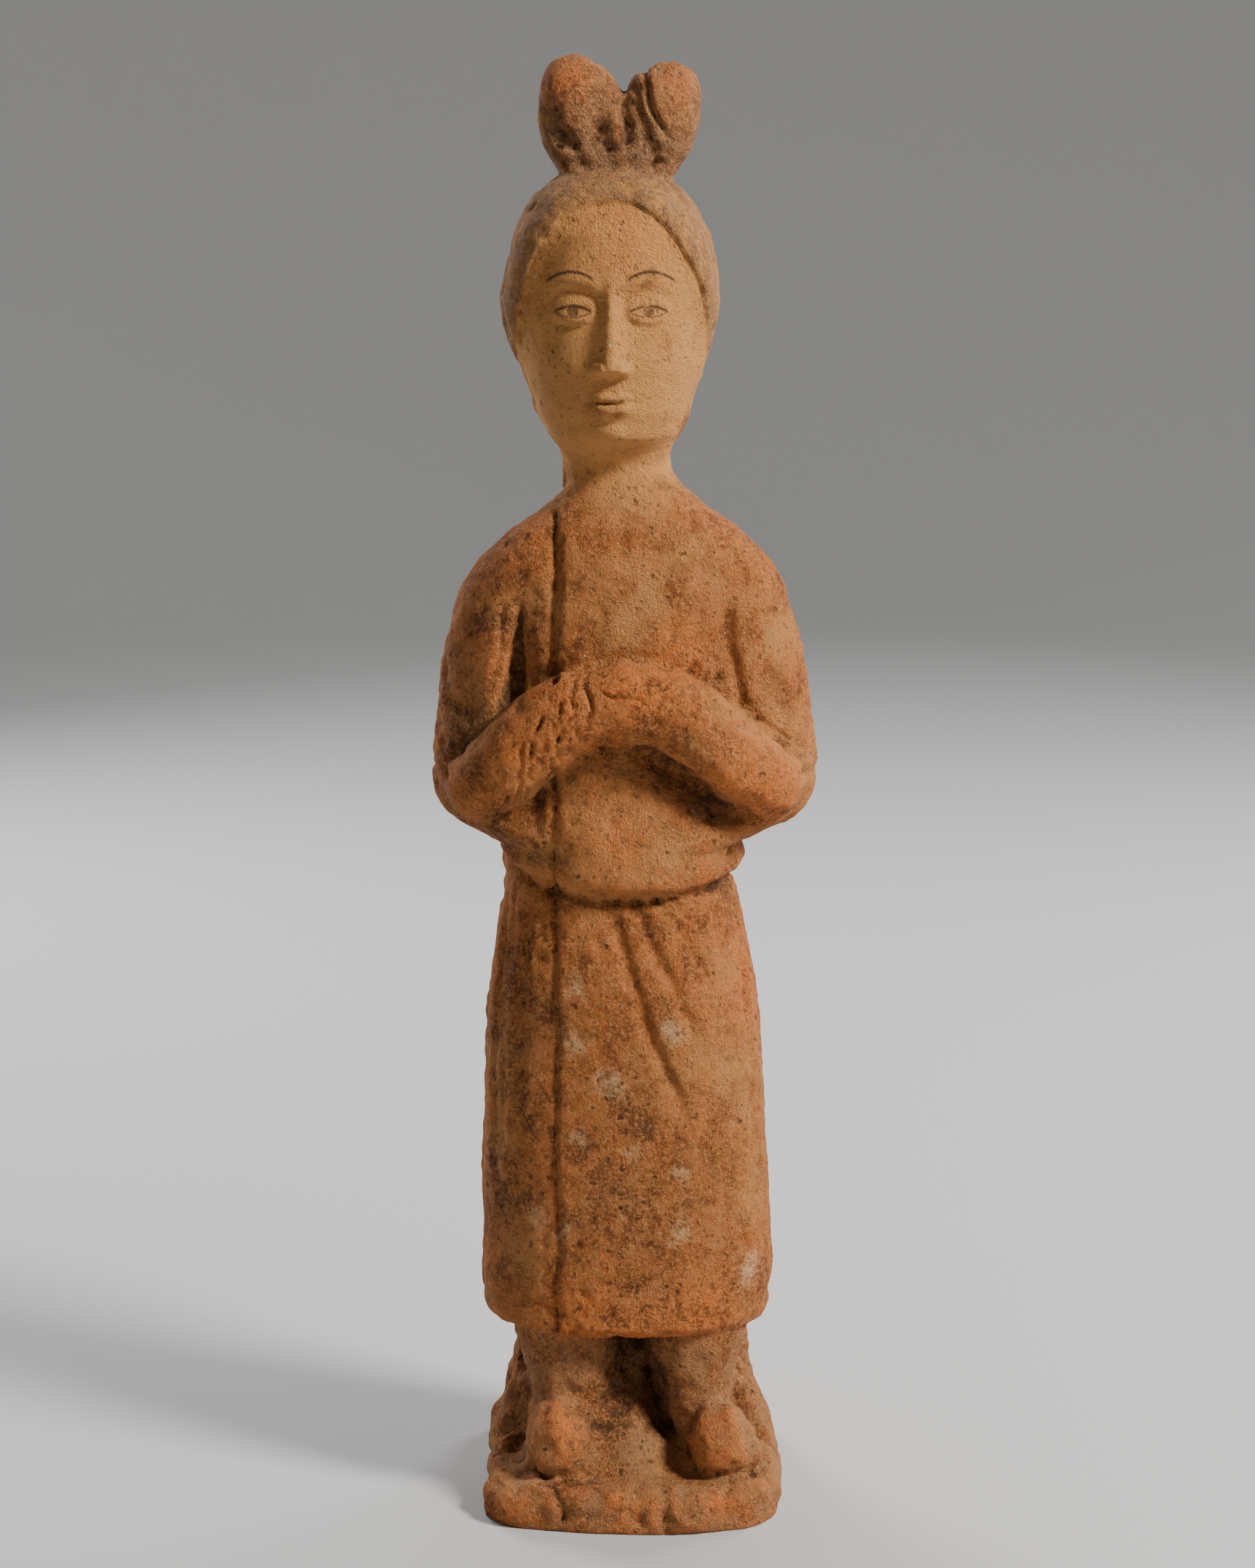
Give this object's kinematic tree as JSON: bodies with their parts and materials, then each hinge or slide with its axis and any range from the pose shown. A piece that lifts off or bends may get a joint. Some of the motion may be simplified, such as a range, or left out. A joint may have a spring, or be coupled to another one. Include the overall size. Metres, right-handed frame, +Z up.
{
  "type": "terracotta attendant figurine",
  "caption": "Moulded terracotta attendant standing on a small slab, hands clasped in the sleeves, robe bloused over a long skirt, hair in a double topknot.",
  "frame": {"origin": "centre of the figure's footprint, on the flat underside of the slab", "axes": "+Z up through the figure, -Y towards its front, +X towards its left hand"},
  "size_m": [0.0706, 0.0584, 0.27],
  "materials": {
    "terracotta": "matt unglazed fired clay, worn brighter on the high places, with dark soil in the hollows and traces of pale slip"
  },
  "bodies": {
    "root": {"attendant_figure": "terracotta"}
  },
  "joints": []
}
